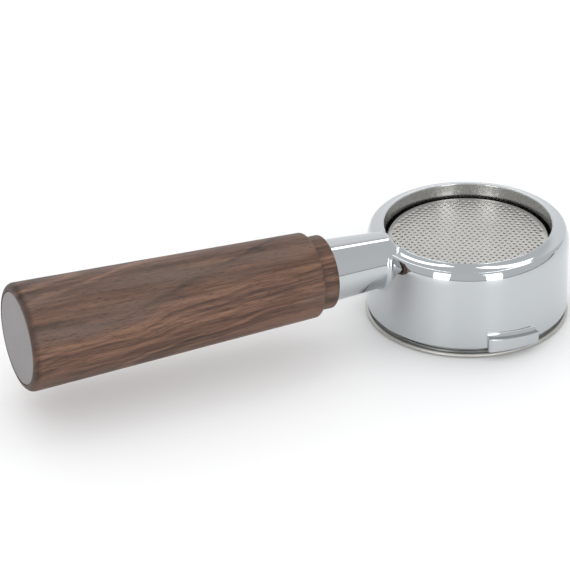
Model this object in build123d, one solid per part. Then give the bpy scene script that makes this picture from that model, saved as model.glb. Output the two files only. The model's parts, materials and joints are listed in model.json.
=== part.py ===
"""Bottomless portafilter for a 58 mm espresso group, standing upside down on its basket's rim.

Millimetres, +Z up. Z is the axis of the ring and the basket, z = 0 is the plane that the rim
rests on, and the handle points along -X. Each sub-part is one function that returns its solid.
"""
import os
from math import cos, radians, sin, tan

from build123d import *

os.makedirs("parts", exist_ok=True)

# ---- Filter basket (pressed from sheet) ----
basket_bore_radius = 29.25    # inside, takes the 58 mm tamper
sheet = 0.75                  # sheet thickness
basket_depth = 29.7           # from the rim plane to the outside of the floor
floor_corner_radius = 1.6     # outside corner between wall and floor
mouth_radius = 1.6            # rounding between the rim's flat and the bore
rim_width = 6.4               # rim beyond the basket's wall
fold_width = 2.6              # how far the rim's edge is folded back over itself
fold_gap = 0.5                # air inside the fold

# ---- Holder casting: ring ----
basket_gap = 1.0              # basket wall to holder bore, all round
ring_wall = 5.1               # holder bore to the ring's outside
lip_inset = 1.07              # how far the outlet lip reaches in past the bore
lip_gap = 0.2                 # basket floor to the underside of the lip
lip_depth = 5.36              # height of the lip's inner wall
bevel_drop = 1.86             # top of the lip down to the crease around the bevel
bevel_crown = 0.27            # how far the bevel bulges over a straight cone
shoulder_width = 1.37         # crease to the ring's wall, across
shoulder_height = 5.0         # crease down to the straight part of the wall
crease_radius = 1.0           # softened crease between bevel and shoulder
wall_foot = 3.7               # rim plane to the lower edge of the ring's wall
undercut = 2.3                # how far the foot is cut back below the wall
foot_clearance = 0.7          # folded rim to the foot above it
nose_clearance = 0.2          # folded rim to the nose inside it
edge_radius = 0.4             # broken edges of the casting
pick_margin = 1.0             # how near an edge must lie to be picked for rounding

# ---- Holder casting: bayonet ears ----
ear_count = 2
ear_reach = 2.7               # beyond the ring's wall
ear_root = 1.0                # overlap into the ring's wall
ear_angle = 30.0              # arc that one ear covers, in degrees
ear_turn = 0.5                # first ear's middle, past the -Y direction, in degrees
ear_drop = 0.2                # underside of the ear below the edge of the wall
ear_height_high = 5.2         # height of the ear's face at its high end
ear_height_low = 3.8          # height at its low end
ear_lead_radius = 1.2         # plan rounding of the high end, which enters the group first
ear_corner_radius = 0.6       # plan rounding of the low end
ear_blend = 1.2               # fillet from the ear's cam face up to the wall

# ---- Holder casting: neck ----
neck_rise = 2.56              # top of the neck's ring end over the top of the ring
neck_radius_ring = 9.95       # where the neck meets the ring's wall
neck_taper = 3.75             # half angle that the neck widens by, in degrees
neck_dome_radius = 2.8        # rounding of the neck's end over the lip
neck_dome_inset = 0.15        # neck's end to the inner wall of the lip
neck_fillet = 1.8             # neck to ring
neck_length = 21.1            # ring's wall to the neck's end face

# ---- Retaining clip ----
wire_radius = 0.6
clip_height = 9.0             # rim plane to the wire's centre
clip_opening = 40.0           # gap of the C, in degrees
clip_clearance = 0.05         # basket wall to wire

# ---- Handle ----
washer_thickness = 1.2
washer_width = 3.5            # stud to the washer's outside
seat_depth = 3.0              # recess in the collar that takes the neck's end
seat_clearance = 0.3          # neck to the wall of that recess
collar_wall = 1.5             # wood around that recess
collar_length = 6.1
collar_step = 2.05            # collar up to the front of the grip
grip_radius_back = 19.1
grip_length = 114.7           # overall, from the collar's face to the end face
collar_edge_radius = 1.2
step_edge_radius = 1.6
end_edge_radius = 2.5
stud_radius = 6.0             # M12
stud_edge = 1.0               # chamfer-like rounding of the stud's ends
stud_in_neck = 15.0
stud_in_insert = 19.0
insert_wall = 3.0
insert_length = 22.0
insert_flange_width = 2.0
insert_flange = 1.5
hole_run_out = 2.0            # blind holes go this much deeper than what is in them
drill_point_angle = 59.0      # half angle of the drilled hole's cone, in degrees
cap_border = 2.8              # wood around the end cap, at the end face
cap_thickness = 2.5
cap_clearance = 0.1
spigot_radius = 4.0
spigot_length = 14.0

# ---- Sizes that follow ----
basket_radius = basket_bore_radius + sheet
rim_radius = basket_radius + rim_width
fold_height = 2 * sheet + fold_gap
fold_radius = 0.45 * fold_height     # the fold is almost a half round
holder_bore_radius = basket_radius + basket_gap
ring_radius = holder_bore_radius + ring_wall
lip_radius = holder_bore_radius - lip_inset
lip_underside = basket_depth + lip_gap
ring_top = lip_underside + lip_depth
foot_bottom = fold_height + foot_clearance
foot_radius = ring_radius - undercut
nose_radius = rim_radius - fold_width - nose_clearance
clip_radius = basket_radius + clip_clearance + wire_radius
groove_radius = wire_radius + clip_clearance
neck_height = ring_top + neck_rise - neck_radius_ring
neck_end = -(ring_radius + neck_length)
seat_floor = neck_end - washer_thickness
collar_face = seat_floor + seat_depth
step_face = collar_face - collar_length
end_face = collar_face - grip_length
neck_radius_end = neck_radius_ring + neck_length * tan(radians(neck_taper))
seat_radius = neck_radius_end + seat_clearance
collar_radius = seat_radius + collar_wall
grip_radius_front = collar_radius + collar_step
washer_radius = stud_radius + washer_width
insert_radius = stud_radius + insert_wall
insert_flange_radius = insert_radius + insert_flange_width
cap_radius = grip_radius_back - cap_border


def about_z(section):
    """Turn a closed outline of (radius, height) points once round the ring's axis."""
    return revolve(Plane.XZ * section, Axis.Z)


def outline(points):
    """Closed face in the XY sketch plane from a list of corner points."""
    return make_face(Polyline(*points, close=True))


def about_handle(section):
    """Turn an outline of (x, radius) points once round the handle's axis."""
    return Pos(0, 0, neck_height) * revolve(Plane.XZ * section, Axis.X)


def corner(section, x, y, radius):
    """Round the corner of a section that lies nearest (x, y)."""
    vertex = section.vertices().sort_by_distance(Vector(x, y))[0]
    return fillet(vertex, radius)


def filter_basket():
    """One sheet: floor, wall, rim folded back on itself. The mouth is at z = 0."""
    inner_corner = floor_corner_radius - sheet
    section = outline([
        (0, basket_depth - sheet), (basket_bore_radius, basket_depth - sheet),
        (basket_bore_radius, 0), (rim_radius, 0),
        (rim_radius, fold_height), (rim_radius - fold_width, fold_height),
        (rim_radius - fold_width, fold_height - sheet), (rim_radius - sheet, fold_height - sheet),
        (rim_radius - sheet, sheet), (basket_radius, sheet),
        (basket_radius, basket_depth), (0, basket_depth),
    ])
    section = corner(section, basket_bore_radius, basket_depth - sheet, inner_corner)
    section = corner(section, basket_radius, basket_depth, floor_corner_radius)
    section = corner(section, basket_bore_radius, 0, mouth_radius)
    section = corner(section, basket_radius, sheet, mouth_radius - sheet)
    section = corner(section, rim_radius, 0, fold_radius)
    section = corner(section, rim_radius, fold_height, fold_radius)
    return about_z(section)


def retaining_spring():
    """C-shaped wire clip that lies in the holder's groove and grips the basket's wall."""
    start = 180 + clip_opening / 2
    path = Pos(0, 0, clip_height) * CenterArc((0, 0), clip_radius, start, 360 - clip_opening)
    end_plane = Plane(origin=path @ 0, z_dir=path % 0)
    wire = sweep(end_plane * Circle(wire_radius), path)
    return wire


def ring():
    """The ring's section: wall, shoulder, crease, bevel, outlet lip, and the foot over the rim."""
    crease = (ring_radius - shoulder_width, ring_top - bevel_drop)
    wall_top = (ring_radius, crease[1] - shoulder_height)
    lip_edge = (lip_radius, ring_top)
    inside_and_wall = Polyline(
        lip_edge, (lip_radius, lip_underside), (holder_bore_radius, lip_underside),
        (holder_bore_radius, sheet), (nose_radius, sheet), (nose_radius, foot_bottom),
        (foot_radius, foot_bottom), (foot_radius, wall_foot), (ring_radius, wall_foot), wall_top,
    )
    shoulder = TangentArc(wall_top, crease, tangent=(0, 1))
    bevel = SagittaArc(crease, lip_edge, bevel_crown)
    section = make_face(inside_and_wall + shoulder + bevel)
    section = corner(section, *crease, crease_radius)
    section = corner(section, ring_radius, wall_foot, edge_radius)
    section = corner(section, *lip_edge, edge_radius)
    return about_z(section)


def ear():
    """One bayonet ear on the -Y side, with its cam face falling towards +X."""
    outside = ring_radius + ear_reach
    root = ring_radius - ear_root
    underside = wall_foot - ear_drop
    side_x = outside * sin(radians(ear_angle / 2))
    side_y = -outside * cos(radians(ear_angle / 2))
    sector = outline([(0, 0), (-2 * side_x, 2 * side_y), (2 * side_x, 2 * side_y)])
    plan = (Circle(outside) - Circle(root)) & sector
    plan = corner(plan, -side_x, side_y, ear_lead_radius)
    plan = corner(plan, side_x, side_y, ear_corner_radius)
    block = Pos(0, 0, underside) * extrude(plan, 2 * ear_height_high)
    under_cam = outline([
        (-side_x, underside), (side_x, underside),
        (side_x, underside + ear_height_low), (-side_x, underside + ear_height_high),
    ])
    return block & extrude(Plane.XZ * under_cam, 2 * outside)


def neck():
    """Tapered round neck whose inner end is domed over the lip."""
    inner = -(lip_radius + neck_dome_inset)
    start = neck_radius_ring + (-ring_radius - inner) * tan(radians(neck_taper))
    section = outline([(neck_end, 0), (inner, 0), (inner, start), (neck_end, neck_radius_end)])
    section = corner(section, inner, start, neck_dome_radius)
    return about_handle(section)


def holder_body():
    """One casting: ring, ears and neck, bored for the basket, the clip and the stud."""
    body = ring() + neck()
    bore = Pos(0, 0, lip_underside / 2) * Cylinder(holder_bore_radius, lip_underside)
    outlet = Pos(0, 0, ring_top) * Cylinder(lip_radius, 2 * lip_depth)
    body -= bore
    body -= outlet
    neck_root = ShapeList(
        e for e in body.edges()
        if e.geom_type not in (GeomType.CIRCLE, GeomType.LINE)
        and -ring_radius - pick_margin < e.center().X < -lip_radius - pick_margin
        and Vector(e.center().X, e.center().Y).length > holder_bore_radius + pick_margin
    )
    body = fillet(neck_root.sort_by(Axis.Z), neck_fillet)
    for i in range(ear_count):
        body += Rot(0, 0, ear_turn + i * 360 / ear_count) * ear()
    ear_roots = ShapeList(
        e for e in body.edges()
        if abs(e.center().Z - wall_foot - ear_height_high) < ear_height_high - ear_height_low + pick_margin
        and abs(Vector((e @ 0).X, (e @ 0).Y).length - ring_radius) < edge_radius
        and abs(Vector((e @ 1).X, (e @ 1).Y).length - ring_radius) < edge_radius
        and e.length > ring_radius * radians(ear_angle) / 2
    )
    body = fillet(ear_roots.sort_by(Axis.Y), ear_blend)
    groove_centre = Pos(clip_radius + groove_radius - wire_radius, clip_height)
    body -= about_z(groove_centre * Circle(groove_radius))
    hole_depth = stud_in_neck + hole_run_out
    point = stud_radius / tan(radians(drill_point_angle))
    hole = outline([
        (neck_end, 0), (neck_end + hole_depth + point, 0),
        (neck_end + hole_depth, stud_radius), (neck_end, stud_radius),
    ])
    body -= about_handle(hole)
    return body


def spring_washer():
    """Steel washer between the neck's end face and the handle."""
    section = outline([
        (seat_floor, stud_radius + clip_clearance), (neck_end, stud_radius + clip_clearance),
        (neck_end, washer_radius), (seat_floor, washer_radius),
    ])
    return about_handle(section)


def handle_stud():
    """M12 stud, half in the neck and half in the handle's insert."""
    front = neck_end + stud_in_neck
    back = seat_floor - stud_in_insert
    section = outline([(back, 0), (front, 0), (front, stud_radius), (back, stud_radius)])
    section = corner(section, front, stud_radius, stud_edge)
    section = corner(section, back, stud_radius, stud_edge)
    return about_handle(section)


def handle_insert():
    """Flanged brass insert, threaded for the stud, glued into the grip."""
    back = seat_floor - insert_length
    section = outline([
        (back, stud_radius), (seat_floor, stud_radius),
        (seat_floor, insert_flange_radius), (seat_floor - insert_flange, insert_flange_radius),
        (seat_floor - insert_flange, insert_radius), (back, insert_radius),
    ])
    return about_handle(section)


def handle_grip():
    """Turned hardwood grip with a stepped-down collar, bored at both ends."""
    section = outline([
        (collar_face, 0), (collar_face, collar_radius), (step_face, collar_radius),
        (step_face, grip_radius_front), (end_face, grip_radius_back), (end_face, 0),
    ])
    section = corner(section, collar_face, collar_radius, collar_edge_radius)
    section = corner(section, step_face, grip_radius_front, step_edge_radius)
    section = corner(section, end_face, grip_radius_back, end_edge_radius)
    grip = about_handle(section)
    insert_end = seat_floor - insert_length - hole_run_out
    grip -= about_handle(outline([
        (insert_end, 0), (collar_face, 0), (collar_face, seat_radius), (seat_floor, seat_radius),
        (seat_floor, insert_flange_radius), (seat_floor - insert_flange, insert_flange_radius),
        (seat_floor - insert_flange, insert_radius), (insert_end, insert_radius),
    ]))
    spigot_end = end_face + cap_thickness + spigot_length + hole_run_out
    grip -= about_handle(outline([
        (end_face, 0), (spigot_end, 0), (spigot_end, spigot_radius),
        (end_face + cap_thickness, spigot_radius),
        (end_face + cap_thickness, cap_radius + cap_clearance),
        (end_face, cap_radius + cap_clearance),
    ]))
    return grip


def end_cap():
    """Metal disc, flush with the grip's end face, with a spigot glued into the wood."""
    disc_back = end_face + cap_thickness
    section = outline([
        (end_face, 0), (disc_back + spigot_length, 0),
        (disc_back + spigot_length, spigot_radius), (disc_back, spigot_radius),
        (disc_back, cap_radius), (end_face, cap_radius),
    ])
    section = corner(section, end_face, cap_radius, edge_radius)
    return about_handle(section)


for make in (
    filter_basket, retaining_spring, holder_body, spring_washer,
    handle_stud, handle_insert, handle_grip, end_cap,
):
    export_step(make(), f"parts/{make.__name__}.step")
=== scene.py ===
import json
from math import cos, pi, radians, sin, sqrt, tan

import bmesh
import bpy
from mathutils import Matrix, Vector


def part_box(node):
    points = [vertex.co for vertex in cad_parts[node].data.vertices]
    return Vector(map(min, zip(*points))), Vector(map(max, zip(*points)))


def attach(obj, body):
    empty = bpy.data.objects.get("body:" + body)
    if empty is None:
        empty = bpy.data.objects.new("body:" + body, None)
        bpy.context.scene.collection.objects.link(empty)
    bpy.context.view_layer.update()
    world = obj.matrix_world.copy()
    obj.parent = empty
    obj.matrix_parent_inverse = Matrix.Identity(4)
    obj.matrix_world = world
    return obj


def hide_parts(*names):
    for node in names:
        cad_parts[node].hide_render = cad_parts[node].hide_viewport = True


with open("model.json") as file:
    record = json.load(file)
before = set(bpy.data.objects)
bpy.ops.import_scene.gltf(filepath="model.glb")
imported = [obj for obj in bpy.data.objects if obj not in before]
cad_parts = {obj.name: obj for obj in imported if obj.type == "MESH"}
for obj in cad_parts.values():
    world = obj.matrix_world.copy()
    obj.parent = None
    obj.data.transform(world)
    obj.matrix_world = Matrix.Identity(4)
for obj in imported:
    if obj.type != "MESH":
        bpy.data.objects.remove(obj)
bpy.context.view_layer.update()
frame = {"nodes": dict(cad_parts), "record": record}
record_mounts = {mount["name"]: mount for mount in frame["record"]["mounts"]}
mm = 0.001


# ---- Camera -------------------------------------------------------------------------------
# A long lens looks down on the part from the handle's side, about 1.2 m away, so that the
# handle comes forward to the left and the outlet is seen from above.

camera_azimuth = radians(22.72)
camera_elevation = radians(29.32)
camera_roll = radians(-0.76)
camera_distance = 1180 * mm
camera_aim = Vector((-63.11, 18.92, 14.3)) * mm

camera_data = bpy.data.cameras.new("camera")
camera_data.sensor_width = 36
camera_data.lens = 208.4
camera_data.clip_start = 0.05
camera_data.clip_end = 50
camera = bpy.data.objects.new("camera", camera_data)
bpy.context.scene.collection.objects.link(camera)
bpy.context.scene.camera = camera
looking = Vector((
    sin(camera_azimuth) * cos(camera_elevation),
    cos(camera_azimuth) * cos(camera_elevation),
    -sin(camera_elevation),
))
level_right = looking.cross(Vector((0, 0, 1))).normalized()
level_up = level_right.cross(looking)
right = cos(camera_roll) * level_right + sin(camera_roll) * level_up
up = right.cross(looking)
turn = Matrix((right, up, -looking)).transposed()
camera.matrix_world = Matrix.Translation(camera_aim - looking * camera_distance) @ turn.to_4x4()


# ---- Filter basket ------------------------------------------------------------------------
# One pressing of 0.75 mm stainless sheet: a straight wall, a rim folded back over itself, and a
# floor punched with a close hexagonal pattern of small holes, each in its own pressed dimple.

basket_low, basket_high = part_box("filter_basket")
bore_radius = record_mounts["basket_bore"]["dims"]["r_mm"] * mm
sheet = 0.75 * mm
wall_radius = bore_radius + sheet
rim_radius = basket_high.x
fold_width = 2.6 * mm
fold_height = 2.0 * mm
floor_height = basket_high.z
floor_edge = 27.4 * mm         # where the flat punched floor meets the pressed corner
press_rounding = 1.6 * mm      # outside of the floor's corner, and the mouth
rim_rounding = 0.9 * mm
sheet_edge = 0.2 * mm          # broken edges of the cut sheet
turning_steps = 192


def rounded(corners, steps=7):
    """Points of an open outline through corners (a, b, radius), with an arc at each.

    At a right angle the test for the arc's side compares parallel directions, so
    rounding decides it. Six of the basket's ten arcs turn the wrong way.
    """
    points = []
    for i, (a, b, radius) in enumerate(corners):
        here = Vector((a, b))
        if radius == 0:
            points.append(here)
            continue
        back = (Vector(corners[i - 1][:2]) - here).normalized()
        ahead = (Vector(corners[i + 1][:2]) - here).normalized()
        half = back.angle(ahead) / 2
        centre = here + (back + ahead).normalized() * radius / sin(half)
        start = here + back * radius / tan(half) - centre
        sweep = pi - 2 * half
        if start.x * ahead.y - start.y * ahead.x < 0:
            sweep = -sweep
        for k in range(steps + 1):
            angle = sweep * k / steps
            points.append(centre + Vector((
                start.x * cos(angle) - start.y * sin(angle),
                start.x * sin(angle) + start.y * cos(angle),
            )))
    return points


def lathe(name, outline, steps):
    """Mesh object of an open outline of (radius, height) points turned once round Z."""
    shape = bmesh.new()
    rings = []
    for radius, height in outline:
        rings.append([
            shape.verts.new((radius * cos(2 * pi * k / steps), radius * sin(2 * pi * k / steps), height))
            for k in range(steps)
        ])
    for one, other in zip(rings, rings[1:]):
        for k in range(steps):
            after = (k + 1) % steps
            shape.faces.new((one[k], one[after], other[after], other[k]))
    bmesh.ops.recalc_face_normals(shape, faces=shape.faces)
    mesh = bpy.data.meshes.new(name)
    shape.to_mesh(mesh)
    shape.free()
    piece = bpy.data.objects.new(name, mesh)
    bpy.context.scene.collection.objects.link(piece)
    return piece


wall_outline = rounded([
    (floor_edge, floor_height, 0),
    (wall_radius, floor_height, press_rounding),
    (wall_radius, sheet, press_rounding - sheet),
    (rim_radius - sheet, sheet, sheet_edge),
    (rim_radius - sheet, fold_height - sheet, sheet_edge),
    (rim_radius - fold_width, fold_height - sheet, sheet_edge),
    (rim_radius - fold_width, fold_height, sheet_edge),
    (rim_radius, fold_height, rim_rounding),
    (rim_radius, 0, rim_rounding),
    (bore_radius, 0, press_rounding),
    (bore_radius, floor_height - sheet, press_rounding - sheet),
    (floor_edge, floor_height - sheet, 0),
])
basket = lathe("basket_shell", wall_outline, turning_steps)


def node_maker(tree):
    """Function that adds a node to the tree, taking inputs by name, or by place as i0, i1, i2."""
    def node(kind, settings=(), **inputs):
        made = tree.nodes.new(kind)
        for key, value in dict(settings).items():
            setattr(made, key, value)
        for key, value in inputs.items():
            by_place = key[0] == "i" and key[1:].isdigit()
            socket = made.inputs[int(key[1:])] if by_place else made.inputs[key]
            if isinstance(value, bpy.types.NodeSocket):
                tree.links.new(value, socket)
            else:
                socket.default_value = value
        return made

    return node


def sockets_by_name(tree):
    """Modifier identifiers of a node tree's inputs, by their names."""
    return {
        item.name: item.identifier for item in tree.interface.items_tree
        if item.item_type == "SOCKET" and item.in_out == "INPUT"
    }


def perforated_floor_tree():
    """Geometry Nodes tree of the punched floor: two filled sheets and a dimple at each hole."""
    tree = bpy.data.node_groups.new("perforated_floor", "GeometryNodeTree")
    face = tree.interface
    for name, kind in (
        ("Edge Radius", "NodeSocketFloat"), ("Hole Field", "NodeSocketFloat"),
        ("Pitch", "NodeSocketFloat"), ("Row Turn", "NodeSocketFloat"),
        ("Dimple Radius", "NodeSocketFloat"), ("Throat Radius", "NodeSocketFloat"),
        ("Hole Radius", "NodeSocketFloat"), ("Shoulder Depth", "NodeSocketFloat"),
        ("Dimple Depth", "NodeSocketFloat"), ("Sheet", "NodeSocketFloat"),
        ("Height", "NodeSocketFloat"), ("Edge Steps", "NodeSocketInt"),
        ("Hole Sides", "NodeSocketInt"), ("Material", "NodeSocketMaterial"),
    ):
        face.new_socket(name, in_out="INPUT", socket_type=kind)
    face.new_socket("Geometry", in_out="OUTPUT", socket_type="NodeSocketGeometry")
    links = tree.links
    given = tree.nodes.new("NodeGroupInput")
    result = tree.nodes.new("NodeGroupOutput")
    node = node_maker(tree)

    def math(operation, a, b=0.0):
        return node("ShaderNodeMath", {"operation": operation}, i0=a, i1=b).outputs[0]

    pitch = given.outputs["Pitch"]
    row_step = math("MULTIPLY", pitch, sqrt(3) / 2)
    grid_count = 41
    grid = node(
        "GeometryNodeMeshGrid", i0=math("MULTIPLY", pitch, grid_count - 1),
        i1=math("MULTIPLY", row_step, grid_count - 1), i2=grid_count, i3=grid_count,
    )
    place = node("GeometryNodeInputPosition").outputs[0]
    parts = node("ShaderNodeSeparateXYZ", i0=place)
    row = math("ROUND", math("DIVIDE", parts.outputs[1], row_step))
    shift = math("MULTIPLY", math("FLOORED_MODULO", row, 2.0), math("MULTIPLY", pitch, 0.5))
    offset = node("ShaderNodeCombineXYZ", i0=shift)
    staggered = node("GeometryNodeSetPosition", i0=grid.outputs[0], i3=offset.outputs[0])
    axis_turn = node(
        "ShaderNodeVectorRotate", {"rotation_type": "Z_AXIS"}, i0=place, i3=given.outputs["Row Turn"],
    )
    turned = node("GeometryNodeSetPosition", i0=staggered.outputs[0], i2=axis_turn.outputs[0])
    away = node("ShaderNodeVectorMath", {"operation": "LENGTH"}, i0=place)
    outside = node(
        "FunctionNodeCompare", {"operation": "GREATER_THAN"},
        i0=away.outputs["Value"], i1=given.outputs["Hole Field"],
    )
    kept = node(
        "GeometryNodeDeleteGeometry", {"domain": "POINT"}, i0=turned.outputs[0], i1=outside.outputs[0],
    )
    centres = node("GeometryNodeMeshToPoints", i0=kept.outputs[0])

    def sheet_with_holes(radius, height, flip):
        hole = node("GeometryNodeCurvePrimitiveCircle", Resolution=given.outputs["Hole Sides"])
        links.new(radius, hole.inputs["Radius"])
        edge = node("GeometryNodeCurvePrimitiveCircle", Resolution=given.outputs["Edge Steps"])
        links.new(given.outputs["Edge Radius"], edge.inputs["Radius"])
        holes = node("GeometryNodeInstanceOnPoints", Points=centres.outputs[0], Instance=hole.outputs[0])
        loose = node("GeometryNodeRealizeInstances", i0=holes.outputs[0])
        join = node("GeometryNodeJoinGeometry")
        links.new(edge.outputs[0], join.inputs[0])
        links.new(loose.outputs[0], join.inputs[0])
        filled = node("GeometryNodeFillCurve", Curve=join.outputs[0])
        filled.mode = "TRIANGLES"
        lift = node("ShaderNodeCombineXYZ", i2=height)
        moved = node("GeometryNodeSetPosition", i0=filled.outputs[0], i3=lift.outputs[0])
        if flip:
            moved = node("GeometryNodeFlipFaces", i0=moved.outputs[0])
        return moved

    height = given.outputs["Height"]
    underside = math("SUBTRACT", height, given.outputs["Sheet"])
    top = sheet_with_holes(given.outputs["Dimple Radius"], height, False)
    bottom = sheet_with_holes(given.outputs["Hole Radius"], underside, True)

    def taper(upper_radius, lower_radius, upper_depth, lower_depth):
        cone = node("GeometryNodeMeshCone", {"fill_type": "NONE"}, Vertices=given.outputs["Hole Sides"])
        links.new(upper_radius, cone.inputs["Radius Top"])
        links.new(lower_radius, cone.inputs["Radius Bottom"])
        links.new(math("SUBTRACT", lower_depth, upper_depth), cone.inputs["Depth"])
        down = node("ShaderNodeCombineXYZ", i2=math("SUBTRACT", height, lower_depth))
        low = node("GeometryNodeSetPosition", i0=cone.outputs["Mesh"], i3=down.outputs[0])
        return node("GeometryNodeFlipFaces", i0=low.outputs[0])

    walls = node("GeometryNodeJoinGeometry")
    shoulder_depth = given.outputs["Shoulder Depth"]
    dimple_depth = given.outputs["Dimple Depth"]
    throat = given.outputs["Throat Radius"]
    hole_radius = given.outputs["Hole Radius"]
    for piece in (
        taper(given.outputs["Dimple Radius"], throat, 0.0, shoulder_depth),
        taper(throat, hole_radius, shoulder_depth, dimple_depth),
        taper(hole_radius, hole_radius, dimple_depth, given.outputs["Sheet"]),
    ):
        links.new(piece.outputs[0], walls.inputs[0])
    dimples = node("GeometryNodeInstanceOnPoints", Points=centres.outputs[0], Instance=walls.outputs[0])
    everything = node("GeometryNodeJoinGeometry")
    for part in (top, bottom, dimples):
        links.new(part.outputs[0], everything.inputs[0])
    real = node("GeometryNodeRealizeInstances", i0=everything.outputs[0])
    merged = node("GeometryNodeMergeByDistance", i0=real.outputs[0])
    merged.inputs["Distance"].default_value = 0.004 * mm
    finish = node("GeometryNodeSetMaterial", i0=merged.outputs[0], Material=given.outputs["Material"])
    links.new(finish.outputs[0], result.inputs[0])
    return tree


def new_material(name):
    """Node material with its Principled shader; returns it, its tree, the shader and a node maker."""
    material = bpy.data.materials.new(name)
    material.use_nodes = True
    tree = material.node_tree
    return material, tree, tree.nodes["Principled BSDF"], node_maker(tree)


def new_group(name, inputs, outputs):
    """Empty shader node group; returns it, its input and output nodes and a node maker."""
    group = bpy.data.node_groups.new(name, "ShaderNodeTree")
    for label, kind, value in inputs:
        socket = group.interface.new_socket(label, in_out="INPUT", socket_type=kind)
        if value is not None:
            socket.default_value = value
    for label, kind in outputs:
        group.interface.new_socket(label, in_out="OUTPUT", socket_type=kind)
    given = group.nodes.new("NodeGroupInput")
    result = group.nodes.new("NodeGroupOutput")
    return group, given, result, node_maker(group)


def graded(node, value, low, high, start=0.0, end=1.0, settings=()):
    """Value between start and end turned into one between low and high."""
    scale = node("ShaderNodeMapRange", settings, Value=value)
    for label, number in (("From Min", start), ("From Max", end), ("To Min", low), ("To Max", high)):
        scale.inputs[label].default_value = number
    return scale.outputs[0]


# faint cloudy haze that handling and polishing leave on bare metal, from 0 to 1
handling_haze, given, result, node = new_group(
    "handling_haze",
    [("Vector", "NodeSocketVector", None), ("Patch Size", "NodeSocketFloat", 0.01)],
    [("Haze", "NodeSocketFloat")],
)
per_patch = node("ShaderNodeMath", {"operation": "DIVIDE"}, i0=1.0, i1=given.outputs["Patch Size"])
broad = node("ShaderNodeTexNoise", Vector=given.outputs["Vector"], Scale=per_patch.outputs[0], Detail=2.0)
finer = node("ShaderNodeMath", {"operation": "MULTIPLY"}, i0=per_patch.outputs[0], i1=14.0)
specks = node("ShaderNodeTexNoise", Vector=given.outputs["Vector"], Scale=finer.outputs[0], Detail=3.0)
both = node("ShaderNodeMath", {"operation": "MULTIPLY"}, i0=broad.outputs["Fac"], i1=specks.outputs["Fac"])
spread = graded(node, both.outputs[0], 0, 1, start=0.15, end=0.38)
handling_haze.links.new(spread, result.inputs["Haze"])

# fine lines that a tool or a brush leaves across one coordinate of a turned or brushed surface
tool_marks, given, result, node = new_group(
    "tool_marks",
    [("Across", "NodeSocketFloat", 0.0), ("Along", "NodeSocketFloat", 0.0),
     ("Line Spacing", "NodeSocketFloat", 0.0002), ("Line Length", "NodeSocketFloat", 0.02)],
    [("Mark", "NodeSocketFloat")],
)
across = node(
    "ShaderNodeMath", {"operation": "DIVIDE"}, i0=given.outputs["Across"], i1=given.outputs["Line Spacing"],
)
along = node(
    "ShaderNodeMath", {"operation": "DIVIDE"}, i0=given.outputs["Along"], i1=given.outputs["Line Length"],
)
flat = node("ShaderNodeCombineXYZ", i0=across.outputs[0], i1=along.outputs[0])
lines = node(
    "ShaderNodeTexNoise", {"noise_dimensions": "2D"},
    Vector=flat.outputs[0], Scale=1.0, Detail=3.0, Roughness=0.6,
)
tool_marks.links.new(lines.outputs["Fac"], result.inputs["Mark"])


def hazed_metal(name, patch_size, clear, hazed):
    """Metal whose colour drifts between two tones; returns new_material's four, its place and its haze."""
    metal, tree, shader, node = new_material(name)
    shader.inputs["Metallic"].default_value = 1.0
    place = node("ShaderNodeTexCoord").outputs["Object"]
    haze = node("ShaderNodeGroup", {"node_tree": handling_haze}, Vector=place)
    haze.inputs["Patch Size"].default_value = patch_size
    tone = node("ShaderNodeValToRGB", Fac=haze.outputs["Haze"])
    tone.color_ramp.elements[0].color = clear
    tone.color_ramp.elements[1].color = hazed
    tree.links.new(tone.outputs[0], shader.inputs["Base Color"])
    return metal, tree, shader, node, place, haze.outputs["Haze"]


# the rim is blasted duller than the rest of the pressing
basket_steel, tree, shader, node, place, haze = hazed_metal(
    "basket_steel", 12 * mm, (0.575, 0.567, 0.540, 1), (0.520, 0.512, 0.488, 1),
)
parts = node("ShaderNodeSeparateXYZ", i0=place)
rolled = node("ShaderNodeGroup", {"node_tree": tool_marks}, Across=parts.outputs[0], Along=parts.outputs[1])
rolled.inputs["Line Spacing"].default_value = 0.15 * mm
rolled.inputs["Line Length"].default_value = 6 * mm
on_rim = node("ShaderNodeMath", {"operation": "LESS_THAN"}, i0=parts.outputs[2], i1=fold_height + 0.1 * mm)
blasted = node(
    "ShaderNodeMath", {"operation": "MULTIPLY_ADD"},
    i0=on_rim.outputs[0], i1=0.24, i2=graded(node, haze, 0.24, 0.32),
)
tree.links.new(blasted.outputs[0], shader.inputs["Roughness"])
scratch = node("ShaderNodeBump", Height=rolled.outputs["Mark"], Strength=0.12, Distance=0.02 * mm)
tree.links.new(scratch.outputs[0], shader.inputs["Normal"])

floor_mesh = bpy.data.meshes.new("basket_floor")
basket_floor = bpy.data.objects.new("basket_floor", floor_mesh)
bpy.context.scene.collection.objects.link(basket_floor)
floor_tree = perforated_floor_tree()
floor_modifier = basket_floor.modifiers.new("perforations", "NODES")
floor_modifier.node_group = floor_tree
floor_inputs = sockets_by_name(floor_tree)
for name, value in {
    "Edge Radius": floor_edge, "Hole Field": 26.8 * mm, "Pitch": 2.12 * mm,
    "Row Turn": radians(-31.8), "Dimple Radius": 0.54 * mm, "Throat Radius": 0.47 * mm,
    "Hole Radius": 0.43 * mm, "Shoulder Depth": 0.06 * mm, "Dimple Depth": 0.50 * mm,
    "Sheet": sheet, "Height": floor_height, "Edge Steps": turning_steps,
    "Hole Sides": 12, "Material": basket_steel,
}.items():
    floor_modifier[floor_inputs[name]] = value
depsgraph = bpy.context.evaluated_depsgraph_get()
floor_result = bpy.data.meshes.new_from_object(basket_floor.evaluated_get(depsgraph))
basket_floor.modifiers.remove(floor_modifier)

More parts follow.
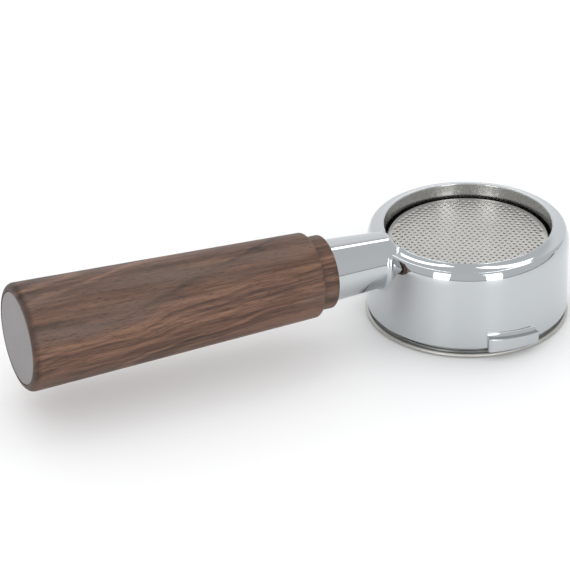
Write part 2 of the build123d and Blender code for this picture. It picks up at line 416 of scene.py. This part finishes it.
shape = bmesh.new()
shape.from_mesh(basket.data)
shape.from_mesh(floor_result)
bmesh.ops.remove_doubles(shape, verts=shape.verts, dist=0.01 * mm)
shape.to_mesh(basket.data)
shape.free()
bpy.data.objects.remove(basket_floor)
basket.data.materials.clear()
basket.data.materials.append(basket_steel)
basket.data.polygons.foreach_set("use_smooth", [True] * len(basket.data.polygons))
basket.data.set_sharp_from_angle(angle=radians(50))
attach(basket, "basket")
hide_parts("filter_basket")


# ---- Retaining spring ---------------------------------------------------------------------
# A C of stainless wire in a groove inside the holder. It grips the basket's wall.

spring_steel, tree, shader, node, place, haze = hazed_metal(
    "spring_steel", 5 * mm, (0.58, 0.58, 0.57, 1), (0.42, 0.42, 0.41, 1),
)
height = node("ShaderNodeSeparateXYZ", i0=place).outputs[2]
drawn = node("ShaderNodeGroup", {"node_tree": tool_marks}, Across=height)
drawn.inputs["Line Spacing"].default_value = 0.05 * mm
tree.links.new(graded(node, drawn.outputs["Mark"], 0.18, 0.42), shader.inputs["Roughness"])
frame["nodes"]["retaining_spring"].data.materials[0] = spring_steel


# ---- Holder casting -----------------------------------------------------------------------
# One brass casting, turned, polished and chromed: the ring with its bevelled outlet lip, the
# round neck and the two bayonet ears. The plating is dull where the bore and the lip's inner
# wall were left as machined.

lip_wall_radius = 29.97 * mm     # just outside the lip's inner wall
groove_radius = 32.5 * mm        # just outside the bore and the clip's groove
lip_underside = 29.92 * mm       # just above the underside of the lip

polished_chrome, tree, shader, node = new_material("polished_chrome")
shader.inputs["Metallic"].default_value = 1.0
place = node("ShaderNodeTexCoord").outputs["Object"]
parts = node("ShaderNodeSeparateXYZ", i0=place)
flat_place = node("ShaderNodeCombineXYZ", i0=parts.outputs[0], i1=parts.outputs[1])
radius = node("ShaderNodeVectorMath", {"operation": "LENGTH"}, i0=flat_place.outputs[0]).outputs["Value"]
on_lip = node("ShaderNodeMath", {"operation": "LESS_THAN"}, i0=radius, i1=lip_wall_radius)
in_bore = node("ShaderNodeMath", {"operation": "LESS_THAN"}, i0=radius, i1=groove_radius)
below_lip = node("ShaderNodeMath", {"operation": "LESS_THAN"}, i0=parts.outputs[2], i1=lip_underside)
bored = node("ShaderNodeMath", {"operation": "MULTIPLY"}, i0=in_bore.outputs[0], i1=below_lip.outputs[0])
machined = node("ShaderNodeMath", {"operation": "MAXIMUM"}, i0=on_lip.outputs[0], i1=bored.outputs[0])
haze = node("ShaderNodeGroup", {"node_tree": handling_haze}, Vector=place)
haze.inputs["Patch Size"].default_value = 9 * mm
cut = node("ShaderNodeGroup", {"node_tree": tool_marks}, Across=parts.outputs[2])
cut.inputs["Line Spacing"].default_value = 0.3 * mm
polished = graded(node, haze.outputs["Haze"], 0.03, 0.06)
bare = graded(node, haze.outputs["Haze"], 0.22, 0.30)
dullness = node("ShaderNodeMix", {"data_type": "FLOAT"}, i0=machined.outputs[0], i2=polished, i3=bare)
tree.links.new(dullness.outputs[0], shader.inputs["Roughness"])
plate = node("ShaderNodeMix", {"data_type": "RGBA"}, i0=machined.outputs[0])
plate.inputs[6].default_value = (0.545, 0.570, 0.588, 1)
plate.inputs[7].default_value = (0.53, 0.53, 0.52, 1)
tree.links.new(plate.outputs[2], shader.inputs["Base Color"])
soft_edge = node("ShaderNodeBevel", {"samples": 8}, Radius=0.5 * mm)
ripple = node("ShaderNodeTexNoise", Vector=place, Scale=48.0, Detail=1.0)
wave = node(
    "ShaderNodeBump", Height=ripple.outputs["Fac"], Strength=0.18,
    Distance=0.1 * mm, Normal=soft_edge.outputs[0],
)
cut_depth = node("ShaderNodeMath", {"operation": "MULTIPLY"}, i0=machined.outputs[0], i1=0.10)
groove = node(
    "ShaderNodeBump", Height=cut.outputs["Mark"], Strength=cut_depth.outputs[0],
    Distance=0.03 * mm, Normal=wave.outputs[0],
)
tree.links.new(groove.outputs[0], shader.inputs["Normal"])
frame["nodes"]["holder_body"].data.materials[0] = polished_chrome


# ---- Handle hardware ----------------------------------------------------------------------
# An M12 steel stud joins the neck to a flanged brass insert set in the grip, with a steel washer
# between the two. All three are turned; the stud and washer are zinc-plated, the insert is bare.


def turned_metal(name, clear, hazed, dullest):
    """Metal turned about the handle's axis, with tool marks spaced along it."""
    metal, tree, shader, node, place, haze = hazed_metal(name, 4 * mm, clear, hazed)
    along = node("ShaderNodeSeparateXYZ", i0=place).outputs[0]
    cut = node("ShaderNodeGroup", {"node_tree": tool_marks}, Across=along)
    cut.inputs["Line Spacing"].default_value = 0.15 * mm
    tree.links.new(graded(node, cut.outputs["Mark"], 0.15, dullest), shader.inputs["Roughness"])
    groove = node("ShaderNodeBump", Height=cut.outputs["Mark"], Strength=0.4, Distance=0.03 * mm)
    tree.links.new(groove.outputs[0], shader.inputs["Normal"])
    return metal


zinc_steel = turned_metal("zinc_steel", (0.60, 0.61, 0.63, 1), (0.46, 0.47, 0.48, 1), 0.42)
turned_brass = turned_metal("turned_brass", (0.80, 0.61, 0.30, 1), (0.62, 0.45, 0.20, 1), 0.38)
for name in ("spring_washer", "handle_stud"):
    frame["nodes"][name].data.materials[0] = zinc_steel
frame["nodes"]["handle_insert"].data.materials[0] = turned_brass


# ---- Walnut grip --------------------------------------------------------------------------
# Turned from one piece of American black walnut, with the grain along the handle, sanded and
# oiled. The growth rings run nearly along it, so they show as long drifting streaks.

grip_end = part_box("handle_grip")[0].x

walnut, tree, shader, node = new_material("walnut")
place = node("ShaderNodeTexCoord").outputs["Object"]
along_grip = node("ShaderNodeSeparateXYZ", i0=place).outputs[0]
# the log's heart lies below the grip, on its -Y side
heart = node("ShaderNodeMapping", Vector=place)
heart.inputs["Location"].default_value = (0, 45 * mm, 40 * mm)
heart.inputs["Rotation"].default_value = (0, radians(5.0), radians(-6.0))
wobble_at = node("ShaderNodeMapping", Vector=heart.outputs[0])
wobble_at.inputs["Scale"].default_value = (14, 50, 50)
wobble = node("ShaderNodeTexNoise", Vector=wobble_at.outputs[0], Scale=1.0, Detail=3.0, Roughness=0.5)
cross = node("ShaderNodeSeparateXYZ", i0=heart.outputs[0])
ring_plane = node("ShaderNodeCombineXYZ", i1=cross.outputs[1], i2=cross.outputs[2])
from_heart = node("ShaderNodeVectorMath", {"operation": "LENGTH"}, i0=ring_plane.outputs[0])
bent = node(
    "ShaderNodeMath", {"operation": "MULTIPLY_ADD"},
    i0=wobble.outputs["Fac"], i1=22 * mm, i2=from_heart.outputs["Value"],
)
rings_at = node("ShaderNodeMath", {"operation": "MULTIPLY"}, i0=bent.outputs[0], i1=200.0)
rings = node(
    "ShaderNodeTexNoise", {"noise_dimensions": "1D"},
    W=rings_at.outputs[0], Scale=1.0, Detail=5.0, Roughness=0.62,
)
fibre_at = node("ShaderNodeMapping", Vector=place)
fibre_at.inputs["Scale"].default_value = (40, 1200, 1200)
fibre = node("ShaderNodeTexNoise", Vector=fibre_at.outputs[0], Scale=1.0, Detail=3.0, Roughness=0.6)
pore_at = node("ShaderNodeMapping", Vector=place)
pore_at.inputs["Scale"].default_value = (330, 3600, 3600)
pore = node("ShaderNodeTexNoise", Vector=pore_at.outputs[0], Scale=1.0, Detail=1.0, Roughness=0.5)
pores = graded(node, pore.outputs["Fac"], 0, 1, start=0.57, end=0.72)
streak_at = node("ShaderNodeMapping", Vector=place)
streak_at.inputs["Rotation"].default_value = (0, radians(-1.5), radians(2.0))
streak_at.inputs["Scale"].default_value = (9, 320, 320)
streak = node("ShaderNodeTexNoise", Vector=streak_at.outputs[0], Scale=1.0, Detail=4.0, Roughness=0.65)
figure = node(
    "ShaderNodeMix", {"data_type": "FLOAT"}, i0=0.45, i2=rings.outputs["Fac"], i3=streak.outputs["Fac"],
)
mixed = node(
    "ShaderNodeMath", {"operation": "MULTIPLY_ADD"}, i0=fibre.outputs["Fac"], i1=0.30, i2=figure.outputs[0],
)
tone = node("ShaderNodeValToRGB", Fac=mixed.outputs[0])
ramp = tone.color_ramp
ramp.elements[0].position = 0.50
ramp.elements[0].color = (0.028, 0.014, 0.010, 1)
ramp.elements[1].position = 0.80
ramp.elements[1].color = (0.215, 0.111, 0.069, 1)
middle = ramp.elements.new(0.64)
middle.color = (0.098, 0.048, 0.030, 1)
stain_at = node("ShaderNodeMapping", Vector=place)
stain_at.inputs["Scale"].default_value = (12, 70, 70)
stain = node("ShaderNodeTexNoise", Vector=stain_at.outputs[0], Scale=1.0, Detail=2.0)
stained = graded(node, stain.outputs["Fac"], 0, 1, start=0.56, end=0.75)
greyed = node("ShaderNodeMix", {"data_type": "RGBA"}, i0=stained)
tree.links.new(tone.outputs[0], greyed.inputs[6])
greyed.inputs[7].default_value = (0.120, 0.078, 0.062, 1)
darker = node("ShaderNodeMix", {"data_type": "RGBA", "blend_type": "MULTIPLY"})
tree.links.new(pores, darker.inputs["Factor"])
tree.links.new(greyed.outputs[2], darker.inputs[6])
darker.inputs[7].default_value = (0.55, 0.50, 0.48, 1)
# the wood's colour is darker round the edge of the far end
far_end_darkening = graded(
    node, along_grip, 0, 1, start=grip_end + 2.6 * mm, end=grip_end + 0.8 * mm,
    settings={"interpolation_type": "SMOOTHSTEP"},
)
finished = node("ShaderNodeMix", {"data_type": "RGBA", "blend_type": "MULTIPLY"})
tree.links.new(far_end_darkening, finished.inputs["Factor"])
tree.links.new(darker.outputs[2], finished.inputs[6])
finished.inputs[7].default_value = (0.55, 0.50, 0.48, 1)
tree.links.new(finished.outputs[2], shader.inputs["Base Color"])
shader.inputs["Specular IOR Level"].default_value = 0.35
tree.links.new(graded(node, fibre.outputs["Fac"], 0.42, 0.58), shader.inputs["Roughness"])
shader.inputs["Coat Weight"].default_value = 0.08
shader.inputs["Coat Roughness"].default_value = 0.38
dip = node("ShaderNodeBump", {"invert": True}, Height=pores, Strength=0.5, Distance=0.08 * mm)
raised = node(
    "ShaderNodeBump", Height=fibre.outputs["Fac"], Strength=0.15, Distance=0.05 * mm, Normal=dip.outputs[0],
)
tree.links.new(raised.outputs[0], shader.inputs["Normal"])
frame["nodes"]["handle_grip"].data.materials[0] = walnut


# ---- End cap ------------------------------------------------------------------------------
# A turned metal disc let into the grip's end, flush with the wood, and bead-blasted to an even
# satin that still shows the faintest rings from the lathe.

handle_axis = (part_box("handle_stud")[0].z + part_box("handle_stud")[1].z) / 2

satin_metal, tree, shader, node, place, haze = hazed_metal(
    "satin_metal", 14 * mm, (0.270, 0.256, 0.254, 1), (0.240, 0.228, 0.227, 1),
)
from_axis = node("ShaderNodeMapping", Vector=place)
from_axis.inputs["Location"].default_value = (0, 0, -handle_axis)
from_axis.inputs["Scale"].default_value = (0, 1, 1)
radius = node("ShaderNodeVectorMath", {"operation": "LENGTH"}, i0=from_axis.outputs[0]).outputs["Value"]
facing = node("ShaderNodeGroup", {"node_tree": tool_marks}, Across=radius)
facing.inputs["Line Spacing"].default_value = 0.2 * mm
blast = node("ShaderNodeTexNoise", Vector=place, Scale=5500.0, Detail=2.0)
tree.links.new(graded(node, facing.outputs["Mark"], 0.36, 0.48), shader.inputs["Roughness"])
pitted = node("ShaderNodeBump", Height=blast.outputs["Fac"], Strength=0.25, Distance=0.02 * mm)
tree.links.new(pitted.outputs[0], shader.inputs["Normal"])
frame["nodes"]["end_cap"].data.materials[0] = satin_metal


# ---- Studio -------------------------------------------------------------------------------
# A plain pale floor and backdrop in a soft white tent, with a dark gap where the floor ends,
# two standing softboxes in front and two overhead, which give the chrome its highlights.

floor_reach = 3.0
studio_floor_mesh = bpy.data.meshes.new("studio_floor")
studio_floor_mesh.from_pydata([
    (-floor_reach, -floor_reach, 0), (floor_reach, -floor_reach, 0),
    (floor_reach, floor_reach, 0), (-floor_reach, floor_reach, 0),
], [], [(0, 1, 2, 3)])
studio_floor = bpy.data.objects.new("studio_floor", studio_floor_mesh)
bpy.context.scene.collection.objects.link(studio_floor)
floor_paint, tree, shader, node = new_material("floor_paint")
shader.inputs["Base Color"].default_value = (0.84, 0.84, 0.84, 1)
shader.inputs["Roughness"].default_value = 0.5
studio_floor_mesh.materials.append(floor_paint)

# the tent's walls from floor level to the top, as the sine of the angle above the horizon
world = bpy.data.worlds.new("tent")
world.use_nodes = True
tent = world.node_tree
background = tent.nodes["Background"]
node = node_maker(tent)
direction = node("ShaderNodeTexCoord").outputs["Generated"]
rise = graded(node, node("ShaderNodeSeparateXYZ", i0=direction).outputs[2], 0, 1, start=-1, end=1)
walls = node("ShaderNodeValToRGB", Fac=rise)
shades = walls.color_ramp
shades.elements[0].position = 0.496
shades.elements[0].color = (1, 1, 1, 1)
shades.elements[1].position = 1.0
shades.elements[1].color = (0.72, 0.73, 0.74, 1)
for position, shade in ((0.499, 0.10), (0.508, 0.10), (0.514, 0.74), (0.72, 0.76)):
    shades.elements.new(position).color = (shade, shade, shade, 1)
towards_back = node("ShaderNodeVectorMath", {"operation": "DOT_PRODUCT"}, i0=direction)
towards_back.inputs[1].default_value = (sin(camera_azimuth), cos(camera_azimuth), 0)
backdrop = graded(
    node, towards_back.outputs["Value"], 0, 1, start=0.60, end=0.75,
    settings={"interpolation_type": "SMOOTHSTEP"},
)
whole_tent = node("ShaderNodeMix", {"data_type": "RGBA"}, i0=backdrop, i6=walls.outputs[0])
whole_tent.inputs[7].default_value = (1, 1, 1, 1)
rays = node("ShaderNodeLightPath")
seen = node(
    "ShaderNodeMix", {"data_type": "RGBA"}, i0=rays.outputs["Is Camera Ray"], i6=whole_tent.outputs[2],
)
seen.inputs[7].default_value = (1, 1, 1, 1)
tent.links.new(seen.outputs[2], background.inputs["Color"])
# the tent lights matt surfaces half as strongly again as it shows in polished ones
soft_fill = node(
    "ShaderNodeMath", {"operation": "MULTIPLY_ADD"}, i0=rays.outputs["Is Diffuse Ray"], i1=0.50, i2=1.0,
)
tent.links.new(soft_fill.outputs[0], background.inputs["Strength"])
bpy.context.scene.world = world
bpy.context.scene.view_settings.view_transform = "Standard"


def softbox(name, turned, elevation, distance, width, height, brightness=3.0):
    """Rectangular light that faces the ring, turned in degrees from the camera's direction."""
    heading = camera_azimuth + pi + radians(turned)
    tilt = radians(elevation)
    way = Vector((sin(heading) * cos(tilt), cos(heading) * cos(tilt), sin(tilt)))
    data = bpy.data.lights.new(name, "AREA")
    data.shape = "RECTANGLE"
    data.size = width
    data.size_y = height
    data.energy = brightness * pi * width * height
    light = bpy.data.objects.new(name, data)
    bpy.context.scene.collection.objects.link(light)
    light.location = way * distance
    light.rotation_euler = (-way).to_track_quat("-Z", "Y").to_euler()
    light.visible_camera = False


softbox("front_left_softbox", turned=31, elevation=17, distance=1.3, width=0.40, height=0.75)
softbox("front_right_softbox", turned=-26, elevation=17, distance=1.3, width=0.40, height=0.75)
softbox("top_left_softbox", turned=150, elevation=63, distance=1.2, width=0.13, height=0.56)
softbox("top_right_softbox", turned=-151, elevation=63, distance=1.2, width=0.13, height=0.56)
